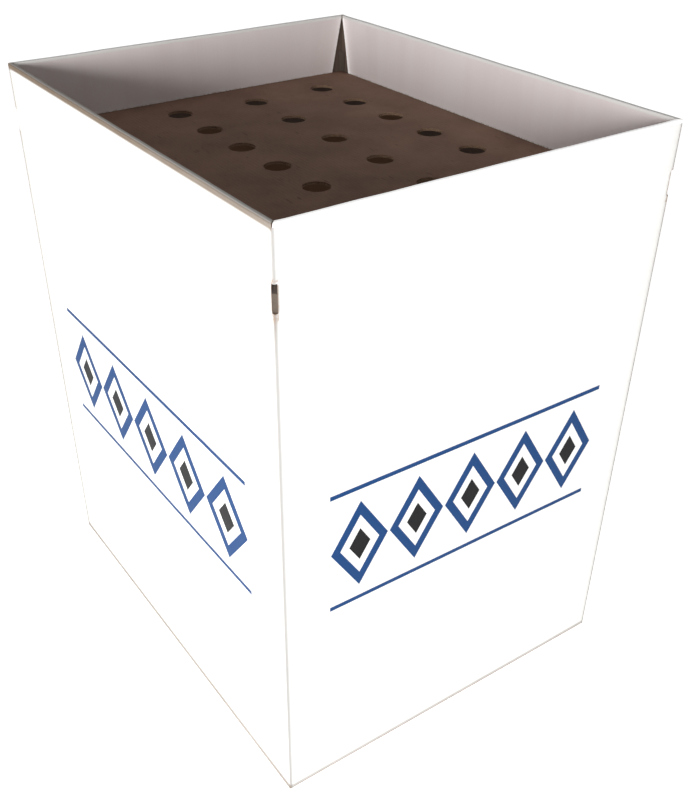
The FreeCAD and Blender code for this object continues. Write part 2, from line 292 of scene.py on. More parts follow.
def paint_white(tree, shader):
    place = blank_place(tree)
    crease, cut, worn, hang, shine = (attribute(tree, mark) for mark in MARKS)
    fibres = tree.grain(tree.stretched(place, (1.0, 0.35, 1.0)), 900.0, 4.0, 0.6)
    cloud = tree.grain(place, 14.0, 3.0)
    speck = tree.grain(place, 420.0, 2.0, 0.5).ramp(0.60, 0.74)
    cracks = tree.grain(place, 260.0, 5.0, 0.7)
    cracked = (crease.ramp(0.55, 1.0) * cracks.ramp(0.50, 0.62)).ramp(0.0, 1.0)
    rubbed = cut.ramp(0.35, 1.0) * cracks.ramp(0.42, 0.60)
    paper = tree.blend(cloud.ramp(0.3, 0.7), WHITE, color("#f2f1ef"))
    streaks = tree.grain(tree.stretched(place, (1.0, 0.06, 1.0)), 22.0, 3.0)
    # Painted shade: the hanging flaps turn a darker white, less so in streaks and near their cut ends.
    inside = hang * streaks.ramp(0.35, 0.75, 0.84, 1.0) * (1.0 - cut * 0.6)
    paper = tree.blend(inside, paper, SHADED_INNER_WHITE)
    paper = tree.blend(speck * 0.04, paper, color("#b9ab9b"))
    lines, dark = ornament(tree)
    paper = tree.blend(lines, paper, INK_BLUE)
    paper = tree.blend(dark, paper, INK_DARK)
    # Painted shade: a grey line along the folds and creases.
    paper = tree.blend(crease.ramp(0.15, 0.8) * 0.8, paper, FOLD_SHADE_GREY)
    # Rubbed wear at the foot and the slots, painted shade on the rims, and a darker brown down the side
    # folds.
    paper = tree.blend(worn * (cloud * 0.2 + 0.95), paper, WEAR_AND_SHADE_BROWN)
    paper = tree.blend(cracked * 0.45, paper, SCUFF)
    paper = tree.blend(rubbed * 0.7, paper, KRAFT)
    link(shader, "Base Color", paper)
    # Painted highlight: the marked rims and flap ends glow a little, as if lit white.
    painted_highlight_glow = tree.blend(shine, (0, 0, 0, 1), (0.5, 0.5, 0.5, 1))
    link(shader, "Emission Color", painted_highlight_glow)
    shader.inputs["Emission Strength"].default_value = 1.0
    link(shader, "Roughness", (fibres * 0.12 + cloud * 0.10 + 0.40) + (crease + worn) * 0.12)
    ribs = washboard(tree, place)
    relief = ribs * 0.10 + fibres * 0.05 + cracks * crease * 0.5
    link(shader, "Normal", bump(tree, relief, 0.5, 0.0006))
    shader.inputs["Specular IOR Level"].default_value = 0.15


white_paper = finish_of("white_paper", paint_white)

# %% [markdown]
# Kraft paper is never even: long fibres lie one way, darker shives are scattered in it, and the flutes
# show as soft stripes where glue darkens the paper. The same recipe serves every brown board.

# %% Brown kraft paper
INSERT_PITCH = 0.0065  # of the flutes in the brown boards


def kraft_painter(light, dark, rib=INSERT_PITCH, object_place=False, swapped=False, painted_glow=0.0):
    """Brown paper between two colours. Swapped turns its fibres; the last argument is a painted glow in the
    dark colour, for light in its hollow.
    """
    light, dark = color(light), color(dark)

    def paint(tree, shader):
        place = own_place(tree) if object_place else blank_place(tree)
        ribs_place, streak = place, (1.0, 0.12, 1.0)
        if swapped:
            x, y, z = tree.axes(place)
            ribs_place = tree.node("ShaderNodeCombineXYZ", {}, {"X": y, "Y": x, "Z": z})
            streak = (0.12, 1.0, 1.0)
        fibres = tree.grain(tree.stretched(place, streak), 700.0, 4.0, 0.65)
        cloud = tree.grain(place, 11.0, 4.0)
        shive = tree.grain(tree.stretched(place, streak), 240.0, 2.0, 0.5).ramp(0.66, 0.74)
        ribs = washboard(tree, ribs_place, rib)
        shade = (fibres * 0.45 + cloud * 0.75 + ribs * 0.05).ramp(0.32, 0.92)
        paper = tree.blend(shade, dark, light)
        paper = tree.blend(shive * 0.5, paper, color("#4a382c"))
        link(shader, "Base Color", paper)
        link(shader, "Roughness", fibres * 0.2 + 0.68)
        link(shader, "Normal", bump(tree, ribs * 0.2 + fibres * 0.3, 0.6, 0.0005))
        shader.inputs["Specular IOR Level"].default_value = 0.25
        # Painted light: the dark colour glows a little.
        shader.inputs["Emission Color"].default_value = dark
        shader.inputs["Emission Strength"].default_value = painted_glow
    return paint


shelf_kraft = finish_of("shelf_kraft", kraft_painter("#9a7a68", "#7a5f50"))
# Painted shade: a darker, greyer kraft for the inside of the walls and the shelf's underside.
inner_kraft = finish_of("inner_kraft", kraft_painter("#6e5f55", "#574a42", FLUTE_PITCH, painted_glow=0.15))
# Painted shade: the fins get a darker kraft than the shelf, and their tops darker still.
fin_kraft = finish_of("fin_kraft", kraft_painter("#62574d", "#4d433a", object_place=True))
fin_shade = finish_of("fin_shade", kraft_painter("#40362f", "#2c2521", object_place=True))
board_kraft = finish_of(
    "board_kraft", kraft_painter("#a08069", "#82654f", object_place=True, swapped=True, painted_glow=0.08)
)

# %% [markdown]
# A cut edge shows the board's layers: the papers stand proud of a ragged, darker core. The layers are in
# the mesh, and the finish only adds loose fibres and dust.

# %% Cut edges
def paint_cut(tree, shader):
    place = own_place(tree)
    ragged = tree.grain(place, 900.0, 4.0, 0.7)
    paper = tree.blend(ragged.ramp(0.3, 0.7), KRAFT_DEEP, color("#b89a80"))
    link(shader, "Base Color", paper)
    link(shader, "Roughness", ragged * 0.2 + 0.75)
    link(shader, "Normal", bump(tree, ragged, 0.8, 0.0008))


cut_board = finish_of("cut_board", paint_cut)

# %% [markdown]
# ## Folded board as a mesh
# A Solidify modifier would make every cut edge flat and pinch at tight folds. Here each point of the outer
# face has its own partner on the inner face, so folds keep their real thickness. Wherever the faces end,
# an edge is stitched between the two papers, and its profile lets the core sit back behind them.

# %% A sheet of points and partners
# A cut edge's profile: how far through the board each point lies, and how many mm it is set back.
LIP_SHELL = ((0.10, 0.0), (0.14, 0.9), (0.86, 0.9), (0.90, 0.0))
LIP_INSERT = ((0.10, 0.0), (0.14, 1.2), (0.86, 1.2), (0.90, 0.0))


class Sheet:
    """A board: points on its outer face, their partners on its inner face, and the faces between."""

    def __init__(self):
        self.outer, self.inner, self.blank, self.marks, self.faces = [], [], [], [], []

    def point(self, outer, inner, blank, marks=(0.0,) * 5):
        self.outer.append(Vector(outer))
        self.inner.append(Vector(inner))
        self.blank.append(blank)
        self.marks.append(marks)
        return len(self.outer) - 1

    def cut_edges(self):
        """Edges with a face on one side only, each with the direction that points into the sheet."""
        owners = {}
        for face in self.faces:
            for first, second in zip(face, face[1:] + face[:1]):
                owners[first, second] = face
        edges = [edge for edge in owners if (edge[1], edge[0]) not in owners]
        inward = {}
        for edge in edges:
            normal = geometry.normal([self.outer[corner] for corner in owners[edge]])
            side = normal.cross(self.outer[edge[1]] - self.outer[edge[0]]).normalized()
            for end in edge:
                inward[end] = inward.get(end, Vector()) + side
        return edges, inward

    def make(self, name, finishes, lip):
        """The mesh object, in metres, with the finishes of its outer face, inner face and cut edges."""
        edges, inward = self.cut_edges()
        places = self.outer + self.inner
        owner = list(range(len(self.outer))) * 2
        rows = {}
        for end, side in inward.items():
            side = side.normalized() if side.length > 0.3 else Vector()
            row = [end]
            for share, depth in lip:
                places.append(self.outer[end].lerp(self.inner[end], share) + side * depth)
                owner.append(end)
                row.append(len(places) - 1)
            rows[end] = row + [len(self.outer) + end]
        shift = len(self.outer)
        faces = list(self.faces) + [tuple(shift + corner for corner in reversed(face)) for face in self.faces]
        slots = [0] * len(self.faces) + [1] * len(self.faces)
        for start, end in ((rows[first], rows[second]) for first, second in edges):
            for step in range(len(lip) + 1):
                faces.append((end[step], start[step], start[step + 1], end[step + 1]))
                slots.append(2)
        mesh = bpy.data.meshes.new(name)
        mesh.from_pydata([place * MM for place in places], [], faces)
        for finish in finishes:
            mesh.materials.append(finish)
        mesh.polygons.foreach_set("material_index", slots)
        mesh.polygons.foreach_set("use_smooth", [True] * len(faces))
        blank = mesh.uv_layers.new(name="blank")
        for loop in mesh.loops:
            blank.data[loop.index].uv = [value * MM for value in self.blank[owner[loop.vertex_index]]]
        for index, mark in enumerate(MARKS):
            layer = mesh.attributes.new(mark, "FLOAT", "POINT")
            layer.data.foreach_set("value", [self.marks[one][index] for one in owner])
        mesh.update()
        mesh.set_sharp_from_angle(angle=math.radians(38))
        print(name, len(places), "points", len(faces), "faces", len(edges), "cut edges")
        return placed(name, mesh)


# %% [markdown]
# ## The white shell
# Every wall has the same section: base flap, fold, wall, rolled rim and hanging flap. It is written once
# as stations, and a row of points is laid along each. Neighbouring walls share their points down the
# upright folds, because the shell is one sheet, and part at the rim, the base and the small slots.

# %% Stations of a wall's section
BASE_FLAP = 314
LAYER = BOARD + 0.5            # the front and back base flaps lie on the other two
SMALL = GAP / 2                # inside radius of a fold
SLOT_REACH = 4.6               # how far the slot in an upright fold is cut into each wall
SLOT_FOOT, SLOT_TOP = 811.5, 846.5
RING_START = [LAYER + FOLD * (1 - math.cos(math.radians(step))) for step in (22.5, 45, 67.5, 90)]
RING_HEIGHTS = RING_START + [8, 10, 14, 20, 30, 42, 58] + [58 + 24 * step for step in range(1, 31)]
RING_HEIGHTS += [795, 805, SLOT_FOOT, 815, 822, 829, 836, 843, SLOT_TOP]
RING_HEIGHTS += [850, 857, 866, 878, 890, 898, 904, 908, 909.2]
RING_INNER = [LAYER + BOARD + SMALL * part for part in (0.08, 0.29, 0.62, 1.0)] + [8.6, 10.6]
RING_INNER += RING_HEIGHTS[6:]
FLAP_HEIGHTS = [909.3, 907, 903, 897, 890, 881, 872, 863, 854, 845, 836, 829, 823, 819, FLAP_FOOT]


def arc(centre, radius, angle):
    angle = math.radians(angle)
    return centre[0] + radius * math.cos(angle), centre[1] + radius * math.sin(angle)


def wall_stations(foot):
    """(zone, outer depth and height, inner depth and height), from the base flap to the hanging flap."""
    corner = BOARD + SMALL
    rows = [("base", (depth, foot), (depth, foot + BOARD)) for depth in range(BASE_FLAP, 6, -34)]
    for angle in (270, 247.5, 225, 202.5, 180):
        zone = "ring" if foot and angle < 270 else "base"
        rows.append((
            zone, arc((FOLD, foot + FOLD), FOLD, angle), arc((corner, foot + corner), SMALL, angle)
        ))
    if foot:
        rows += [("ring", (0, z), (BOARD, inner)) for z, inner in list(zip(RING_HEIGHTS, RING_INNER))[4:]]
    else:
        rows += [("base", (0, 3.3), (BOARD, 6.0))]
        rows += [("ring", (0, z), (BOARD, inner)) for z, inner in zip(RING_HEIGHTS, RING_INNER)]
    rows += [("rim", (0, RIM_FOOT + rise), (BOARD, RIM_FOOT + rise / 4)) for rise in (0.2, 1.1)]
    crown, middle, under = HEIGHT - FOLD, BRIM / 2, (BRIM / 2, HEIGHT - BOARD - SMALL)
    for angle, inner_angle in zip((180, 157.5, 135, 112.5, 90), (180, 172, 164, 156, 148)):
        rows.append(("rim", arc((FOLD, crown), FOLD, angle), arc(under, SMALL, inner_angle)))
    for depth, inner_angle in ((middle - 0.8, 119), (middle, 90), (middle + 0.8, 61)):
        rows.append(("rim", (depth, HEIGHT), arc(under, SMALL, inner_angle)))
    for angle, inner_angle in zip((90, 67.5, 45, 22.5, 0), (32, 24, 16, 8, 0)):
        rows.append(("rim", arc((BRIM - FOLD, crown), FOLD, angle), arc(under, SMALL, inner_angle)))
    rows += [("rim", (BRIM, RIM_FOOT + rise), (BRIM - BOARD, RIM_FOOT + rise / 4)) for rise in (1.1, 0.2)]
    rows += [("flap", (BRIM, z), (BRIM - BOARD, z)) for z in FLAP_HEIGHTS]
    return rows


print("stations in a section:", len(wall_stations(0)), "and", len(wall_stations(LAYER)))

# %% [markdown]
# The points crowd together near the corners, where the slots, slits and rounded folds are. Each zone ends
# in its own way: the walls meet on the mitre, the rims stop just short of it, and the flaps slope back and
# leave an open wedge in every corner.

# %% Where each row of points ends
def clamp(value):
    """The value, kept between 0 and 1."""
    return min(1.0, max(0.0, value))


END_STEPS = [0, 0.7, 1.6, 3, SLOT_REACH, 6.5, 10, 15, 22, 32, 45, 62]
COLUMN_PITCH = 23      # between the rows' points in the middle of a wall
RIM_SLIT = 0.85        # from the end of a rim to the mitre
FLAP_END = 0.6         # how much further back a flap starts than its rim ends
FLAP_SLOPE = math.tan(math.radians(12.5))
FRONT, RIGHT, BACK, LEFT = range(4)     # a wall's ends are -1 and 1: left and right, seen from outside
GLUED = {(RIGHT, 1): BOARD, (BACK, -1): 0.0}    # the ends at the glued corner, and how far off each stops


def columns(half_length):
    """(end, distance from that end) of every point in a row, from the left end to the right end."""
    count = round((half_length - END_STEPS[-1]) / COLUMN_PITCH)
    step = (half_length - END_STEPS[-1]) / count
    half = END_STEPS + [END_STEPS[-1] + step * index for index in range(1, count + 1)]
    return [(-1, near) for near in half] + [(1, near) for near in reversed(half[:-1])]


def pulled_back(wall, end, zone, depth, height):
    """How far a row's end stands back from the corner."""
    if zone == "base":
        return 0.0
    if zone == "ring":
        return GLUED.get((wall, end), depth)
    if zone == "rim":
        return RIM_SLIT + depth
    return RIM_SLIT + BRIM + FLAP_END + FLAP_SLOPE * (RIM_FOOT - height)


def along_wall(half_length, end, near, pull):
    """Place along a wall: the pull of its end is taken up between 15 and 150 mm from that end."""
    return end * (half_length - near - pull * clamp((150 - near) / 135))


def rounded(half_length, along, depth, corner):
    """A point of the outer face moved onto the rounded upright fold."""
    near = half_length - abs(along) - corner
    if near >= FOLD or depth >= FOLD:
        return along, depth
    off = Vector((near - FOLD, depth - FOLD))
    if off.length <= FOLD:
        return along, depth
    off = off.normalized() * FOLD
    moved = half_length - corner - (FOLD + off.x)
    return (moved if along > 0 else -moved), FOLD + off.y


# %% [markdown]
# Real board is never quite flat. The panels belly in a little between their folds, the rim's edge is wavy
# from handling, and the hanging flaps lean and bow. All of it is smooth noise with fixed places, so each
# run gives the same bin, and nothing moves outside the measured box.

# %% Small irregularities
def wave(wall, along, height, pitch, seed):
    """Smooth noise from -1 to 1 on a wall."""
    return noise.noise(Vector((along / pitch + 7.3 * wall, height / pitch, seed)))


FLAT_FOOT = 11         # up to this height a panel is held flat by its base fold
BELLY, BELLY_PITCH = (0.35, 0.5), 190    # mean and swing of a panel's belly, and the size of its waves
DENT, DENT_PITCH = 0.6, 42
DIP, DIP_PITCH = (0.2, 0.6), 60          # of the rim's top
EDGE, EDGE_PITCH = (0.15, 0.45), 34      # of the rim's outer edge
LEAN, LEAN_PITCH = 0.5, 47               # of the rim's inner edge and the flap below it
FLAP_LEAN = 0.8        # of a flap's foot, inwards


def settle(wall, zone, along, depth, height, near, outside):
    """Depth and height of a point once the board has been handled."""
    calm = min(1.0, near / 40)
    calm_end = min(1.0, near / 12)
    lean = LEAN * wave(wall, along, 0, LEAN_PITCH, 2.4)
    if zone in ("ring", "base") and outside and height > FLAT_FOOT:
        calm *= min(1.0, (height - FLAT_FOOT) / 60) * clamp((RIM_FOOT - height) / 30)
        depth += max(0.0, BELLY[0] + BELLY[1] * wave(wall, along, height, BELLY_PITCH, 3.1)) * calm
        depth += max(0.0, wave(wall, along, height, DENT_PITCH, 8.7) - 0.25) * DENT * calm
    if zone == "rim" and outside:
        height -= max(0.0, DIP[0] + DIP[1] * wave(wall, along, 0, DIP_PITCH, 5.5)) * calm_end
        if depth < BRIM / 2:
            depth += max(0.0, EDGE[0] + EDGE[1] * wave(wall, along, 0, EDGE_PITCH, 1.9)) * calm_end
        else:
            depth += lean * calm_end
    if zone == "flap":
        hang = (RIM_FOOT - height) / (RIM_FOOT - FLAP_FOOT)
        free = min(1.0, hang * 3)
        bow = 1.5 * wave(wall, along, height, 230, 6.2) + 0.5 * wave(wall, along, height, 55, 4.8)
        depth += max(-0.4, bow) * free + lean * (1 - free) + FLAP_LEAN * hang
    return depth, height


# %% Lay the four walls
def path_lengths(stations):
    """Distance along the outer face to every station: the second coordinate of the flat blank."""
    total, lengths = 0.0, [0.0]
    for (_, before, _), (_, after, _) in zip(stations, stations[1:]):
        total += math.dist(before, after)
        lengths.append(total)
    return lengths


RIM_SHADE = (0.0, 0.3, 0.3, 1.0)          # painted shade on the rims: of the front, right, back and left wall
RIM_PAINTED_HIGHLIGHT = (1.0, 0.15, 0.15, 0.0)       # painted highlight: how much each rim glows, as if the studio light whitened it
FOOT_WEAR = (0.5, 0.72, 0.5, 0.72)
FOOT_BAND = 12                           # height of the rubbed band at the foot
SIDE_FOLD_BROWN = {(FRONT, 1): (0.6, 4), (LEFT, -1): (0.9, 9)}   # (wall, end): how much darker brown down the two side folds, and how far in mm
SLOT_SCUFF = 40                          # the fold below a slot is rubbed this far down
GLUED_PAINTED_HIGHLIGHT = {RIGHT: 0.8, BACK: 0.2}


def marks_at(wall, zone, station, lengths, creases, end, near, depth, height):
    """The five MARKS of a point, each from 0 to 1."""
    fold = 0.25 * max(math.exp(-abs(lengths[station] - crease) / 3.5) for crease in creases)
    cut = worn = shine = 0.0
    slot_gap = max(0.0, near - SLOT_REACH)
    if zone in ("rim", "flap"):
        cut = math.exp(-near / 3)
    if zone == "flap":
        cut = max(cut, math.exp(-(height - FLAP_FOOT) / 3))
        # Painted highlight on the flap ends by the glued corner.
        if (wall, end) in GLUED:
            shine = GLUED_PAINTED_HIGHLIGHT[wall] * math.exp(-near / 8)
    # Painted shade on the rims, most on the left wall.
    if zone == "rim" or (zone == "ring" and height > RIM_FOOT - 2):
        worn = RIM_SHADE[wall]
        if wall == LEFT:                 # painted shade: darkest at its far end, and more outside than on top
            far = near / (2 * HALF_Y) if end > 0 else 1 - near / (2 * HALF_Y)
            worn *= (0.85 + 0.15 * far) * (1.0 if depth < 1.2 else 0.55)
    # Painted highlight on the rims.
    if zone == "rim":
        shine = RIM_PAINTED_HIGHLIGHT[wall]
    if height < FOOT_BAND:
        worn = FOOT_WEAR[wall]
    if zone == "ring":
        # The upright folds get the grey painted shade and the cracks.
        fold = max(fold, math.exp(-near / 4))
        # A darker brown down the two side folds.
        share, reach = SIDE_FOLD_BROWN.get((wall, end), (0.0, 1))
        worn = max(worn, share * math.exp(-near / reach))
        if SLOT_FOOT - SLOT_SCUFF < height <= SLOT_FOOT:
            scuff = 0.8 * (1 - (SLOT_FOOT - height) / SLOT_SCUFF)
            worn = max(worn, scuff * math.exp(-near / 2.5))
        if SLOT_FOOT - 8 < height < SLOT_TOP + 8:
            cut = max(cut, math.exp(-slot_gap / 3))
        if SLOT_FOOT < height < SLOT_TOP:
            worn = 0.9 * math.exp(-slot_gap / 1.5)
    return fold, cut, worn, float(zone == "flap"), shine


def turned(x, y, count):
    """A place turned round the middle by some quarter turns."""
    for _ in range(count):
        x, y = -y, x
    return x, y


def lay_wall(sheet, wall, shared):
    """Adds a wall's points and faces; shared holds the points that neighbouring walls have in common."""
    half_wall, half_length = (HALF_Y, HALF_X) if wall % 2 == 0 else (HALF_X, HALF_Y)
    foot, cut_back = (LAYER, 6.5) if wall % 2 == 0 else (0, 3)
    stations = wall_stations(foot)
    lengths = path_lengths(stations)
    tops = [row for row, (zone, _, _) in enumerate(stations) if zone == "rim"]
    creases = [lengths[tops[4]], lengths[tops[-6]]]
    row_of = columns(half_length)
    blank_start = (2 * HALF_Y, 0, 2 * HALF_X + 4 * HALF_Y, 2 * (HALF_X + HALF_Y))[wall]
    grid = []
    ring_row = -1
    for station, (zone, outer, inner) in enumerate(stations):
        ring_row += zone == "ring"
        grid.append([])
        for column, (end, near) in enumerate(row_of):
            corner = GLUED.get((wall, end), 0.0)
            edge = column in (0, len(row_of) - 1)
            key = (wall if column else (wall - 1) % 4, ring_row)
            joined = zone == "ring" and edge and (wall, end) not in GLUED
            if joined and key in shared:
                grid[-1].append(shared[key])
                continue
            sides = []
            for outside, (depth, height) in ((True, outer), (False, inner)):
                if outside and zone == "ring" and near < cut_back:
                    depth = 0.0
                along = along_wall(half_length, end, near, pulled_back(wall, end, zone, depth, height))
                depth, height = settle(wall, zone, along, depth, height, near, outside)
                if outside and zone in ("ring", "rim") and (wall, end) != (BACK, -1):
                    along, depth = rounded(half_length, along, depth, corner if zone == "ring" else 0)
                sides.append((*turned(along, depth - half_wall, wall), height))
            flat = (blank_start + half_length - end * (half_length - near), lengths[station])
            marks = marks_at(wall, zone, station, lengths, creases, end, near, *outer)
            grid[-1].append(sheet.point(*sides, flat, marks))
            if joined:
                shared[key] = grid[-1][-1]
    for station, (lower, upper) in enumerate(zip(grid, grid[1:])):
        zone, (_, low), _ = stations[station]
        _, (_, high), _ = stations[station + 1]
        for column in range(len(row_of) - 1):
            near = max(row_of[column][1], row_of[column + 1][1])
            if zone == "base" and near <= cut_back:
                continue
            if zone == "ring" and near <= SLOT_REACH and low >= SLOT_FOOT and high <= SLOT_TOP:
                continue
            sheet.faces.append((lower[column], lower[column + 1], upper[column + 1], upper[column]))
    print("wall", wall, "has", len(stations), "x", len(row_of), "points")


GLUE_FLAP = (23.5, 740.0)      # foot and top where it leaves the fold
GLUE_FLAP_WIDTH, GLUE_FLAP_BEVEL = 38.0, 10.2
GLUE_FLAP_ROWS = 12


def lay_glue_flap(sheet):
    """The sheet's last edge, folded in behind the back wall at the back right corner."""
    low, high = GLUE_FLAP
    grid = []
    for step in range(GLUE_FLAP_ROWS + 1):
        grid.append([])
        for share in (0, 0.33, 0.67, 1):
            foot, top = low + GLUE_FLAP_BEVEL * share, high - GLUE_FLAP_BEVEL * share
            height = foot + (top - foot) * step / GLUE_FLAP_ROWS
            across = GLUE_FLAP_WIDTH * share
            x, y = HALF_X - BOARD - 0.3 - across, HALF_Y - BOARD - 0.2
            grid[-1].append(sheet.point((x, y, height), (x, y - BOARD, height), (-across, height)))
    for lower, upper in zip(grid, grid[1:]):
        for column in range(3):
            sheet.faces.append((lower[column], lower[column + 1], upper[column + 1], upper[column]))


shell_sheet = Sheet()
shared_points = {}
for wall in range(4):
    lay_wall(shell_sheet, wall, shared_points)
lay_glue_flap(shell_sheet)
shell = shell_sheet.make("white_shell", [white_paper, inner_kraft, cut_board], LIP_SHELL)
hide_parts("outer_shell")
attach(shell, "root")

# %% [markdown]
# ## The perforated shelf
# The shelf is one brown sheet with its four edges turned down. At each corner a narrow tab of the plate
# reaches out below the slot in the shell. Its holes are punched in rows: the record of the measured model
# gives them as bolt patterns, so their centres are read from there and not guessed. A boolean cut would
# leave long thin triangles round every hole, so the plate is triangulated round rings of points instead.

# %% Hole centres from the record
HOLE_RADIUS = patterns[0]["dims"]["hole_r_mm"]


def pattern_holes(pattern):
    """The two or four corners of a pattern, which stands for two or four holes."""
    x, y, _ = (value / MM for value in pattern["pos_m"])
    reach_x = pattern["dims"]["spacing_x_mm"] / 2
    reach_y = pattern["dims"].get("spacing_y_mm", 0.0) / 2
    return {(round(x + a * reach_x, 3), round(y + b * reach_y, 3)) for a in (-1, 1) for b in (-1, 1)}


hole_centres = sorted(set().union(*(pattern_holes(pattern) for pattern in patterns)))
print(len(hole_centres), "holes")

# %% Lay the plate
BEND = 2.0             # radius of the turned-down edges, to the middle of the board
PLATE_X, PLATE_Y = HALF_X - BOARD - 3, HALF_Y - BOARD - 3   # where the turned-down edges start to bend
TAB_TIP = ((HALF_X - 7.0, HALF_Y - 3.26), (HALF_X - 3.26, HALF_Y - 7.0))
TAB_HALF = 3.75        # half the width of a corner's tab, along each axis
RING_STEPS = ((0.0, 64), (1.6, 64), (5.0, 32))  # rings of points round a hole: distance and count
FILL_PITCH = 16.0      # between the loose points that fill the rest of the plate
PUNCH_DRAG = 0.35      # how far the punch drags a hole's edge down


def edge_places(half, pitch=15.0):
    """Evenly spaced places along one side of the plate, between the two tabs."""
    end = half - TAB_HALF
    count = round(2 * end / pitch)
    return [-end + 2 * end * step / count for step in range(count + 1)]


def plate_outline():
    """Round the plate, anticlockwise: (kind, turn, place) of each side's places and each tab's tips."""
    outline = []
    for turn in range(4):
        half, other = (PLATE_X, PLATE_Y) if turn % 2 == 0 else (PLATE_Y, PLATE_X)
        outline += [("side", turn, turned(place, -other, turn)) for place in edge_places(half)]
        sign_x, sign_y = ((1, -1), (1, 1), (-1, 1), (-1, -1))[turn]
        for x, y in (TAB_TIP if turn % 2 == 0 else TAB_TIP[::-1]):
            outline.append(("tab", turn, (sign_x * x, sign_y * y)))
    return outline


def in_plate(x, y):
    """Whether a place is on the plate or on one of its tabs, and not in a gap beside a tab."""
    off_diagonal = abs((HALF_X - abs(x)) - (HALF_Y - abs(y)))
    return (abs(x) < PLATE_X and abs(y) < PLATE_Y) or off_diagonal < TAB_HALF


def hole_gap(place):
    """Distance from a place to the edge of the nearest hole, less than 0 inside the hole."""
    return min((place - Vector(centre)).length for centre in hole_centres) - HOLE_RADIUS


SAG = 0.9              # of the plate between the boards that carry it
CROSS_BOARD = 139.5    # how far from the middle the two cross boards stand


def sagged(x, y):
    """How far the plate hangs between the boards that carry it."""
    across = math.sin(math.pi * x / PLATE_X) ** 2
    hold = (abs(y) / CROSS_BOARD) ** 2 - 1
    return SAG * across * min(1.0, abs(hold) * 0.8) * max(0.0, 1 - (y / PLATE_Y) ** 4)


def lay_plate(sheet):
    outline = plate_outline()
    places = [Vector(place) for _, _, place in outline]
    edges = [(step, (step + 1) % len(places)) for step in range(len(places))]
    for centre in hole_centres:
        for out, count in RING_STEPS:
            start = len(places)
            for step in range(count):
                angle = 2 * math.pi * step / count
                radius = HOLE_RADIUS + out
                places.append(Vector((
                    centre[0] + radius * math.cos(angle), centre[1] + radius * math.sin(angle)
                )))
            edges += [(start + step, start + (step + 1) % count) for step in range(count)]
    for column in range(-18, 19):
        for row in range(-23, 24):
            place = Vector(((column + (row % 2) / 2) * FILL_PITCH, row * FILL_PITCH))
            inside = abs(place.x) <= PLATE_X - 8 and abs(place.y) <= PLATE_Y - 8
            if inside and hole_gap(place) > 10:
                places.append(place)
    made, _, faces, origin, _, _ = geometry.delaunay_2d_cdt(places, edges, [], 0, 1e-4)
    ids = []
    for place, source in zip(made, origin):
        kind, turn, _ = outline[source[0]] if source[0] < len(outline) else ("plate", 0, None)
        gap = hole_gap(place)
        drop = sagged(*place) + PUNCH_DRAG * max(0.0, 1 - gap / RING_STEPS[1][0])
        below = Vector((place.x, place.y, SHELF_TOP - INSERT - drop))
        if kind == "side":
            if turn % 2 == 0:
                below.y -= math.copysign(BEND, below.y)
            else:
                below.x -= math.copysign(BEND, below.x)
        cut = math.exp(-max(0.0, gap) / 2)
        ids.append(sheet.point((*place, SHELF_TOP - drop), below, tuple(place), (0.0, cut, 0.0, 0.0, 0.0)))
    for face in faces:
        middle = sum((made[corner] for corner in face), Vector((0, 0))) / len(face)
        if hole_gap(middle) > -0.1 and in_plate(*middle):
            a, b, c = (made[corner] for corner in face[:3])
            order = face if (b - a).cross(c - a) > 0 else face[::-1]
            sheet.faces.append(tuple(ids[corner] for corner in order))
    by_source = {source[0]: ids[index] for index, source in enumerate(origin) if source}
    return [(kind, turn, place, by_source[step]) for step, (kind, turn, place) in enumerate(outline)]


def lay_skirt(sheet, row):
    """One turned-down edge below a row of the plate's own points."""
    previous = [point for _, _, _, point in row]
    out = [place for _, _, place, _ in row]
    turn = row[0][1]
    normal = ((0, -1), (1, 0), (0, 1), (-1, 0))[turn]
    bend = [math.radians(angle) for angle in (30, 60, 90)]
    steps = [(BEND * math.sin(angle), BEND * (1 - math.cos(angle)), 0) for angle in bend]
    steps += [(BEND, BEND + lower, lower) for lower in (3, 10, 22, 36, 50, 62)]
    for index, (push, drop, lower) in enumerate(steps):
        current = []
        for x, y in out:
            lean = 0.25 * noise.noise(Vector((x / 60, y / 60, drop / 40))) * min(1.0, lower / 20)
            reach = push - abs(lean)
            high = (x + normal[0] * reach, y + normal[1] * reach, SHELF_TOP - drop)
            low_z = min(SHELF_TOP - INSERT - 0.2 * (index + 1), SHELF_TOP - drop)
            low = (x - normal[0] * BEND, y - normal[1] * BEND, low_z)
            flat = (x + normal[0] * drop, y + normal[1] * drop)
            current.append(sheet.point(high, low, flat, (math.exp(-lower / 3), 0.0, 0.0, 0.0, 0.0)))
        for step in range(len(out) - 1):
            sheet.faces.append((previous[step + 1], previous[step], current[step], current[step + 1]))
        previous = current


shelf_sheet = Sheet()
border = lay_plate(shelf_sheet)
for turn in range(4):
    lay_skirt(shelf_sheet, [point for point in border if point[0] == "side" and point[1] == turn])
shelf_plate = shelf_sheet.make("shelf_plate", [shelf_kraft, inner_kraft, cut_board], LIP_INSERT)

# %% [markdown]
# A fin stands on each corner's diagonal: the sheet's corner web pinched double, so two thin layers side by
# side. Its tip fills the lower part of the slot in the white shell, and its top rises inwards, which
# keeps the light out. The fin's kraft is painted darker than the shelf's, as painted shade in the slot,
# and its sloping top, in the dark behind the slot, gets painted shade darker still.

# %% Fins in the corners
FIN_TIP, FIN_BACK = 3.78, 12.02         # distances from the corner, along the diagonal
FIN_BREAK = (8.0, SLOT_TOP - 1.5)       # where its top gets less steep: distance and height
FIN_WIDTH, FIN_SEAM = 6.1, 0.12         # of the fin, and of the gap between its two layers
FIN_TIP_TOP, FIN_BACK_TOP = SLOT_TOP - 12, SLOT_TOP + 4.5
FIN_SPLAY_START, FIN_SPLAY = 9, 0.5     # its layers part beyond this distance, at this slope


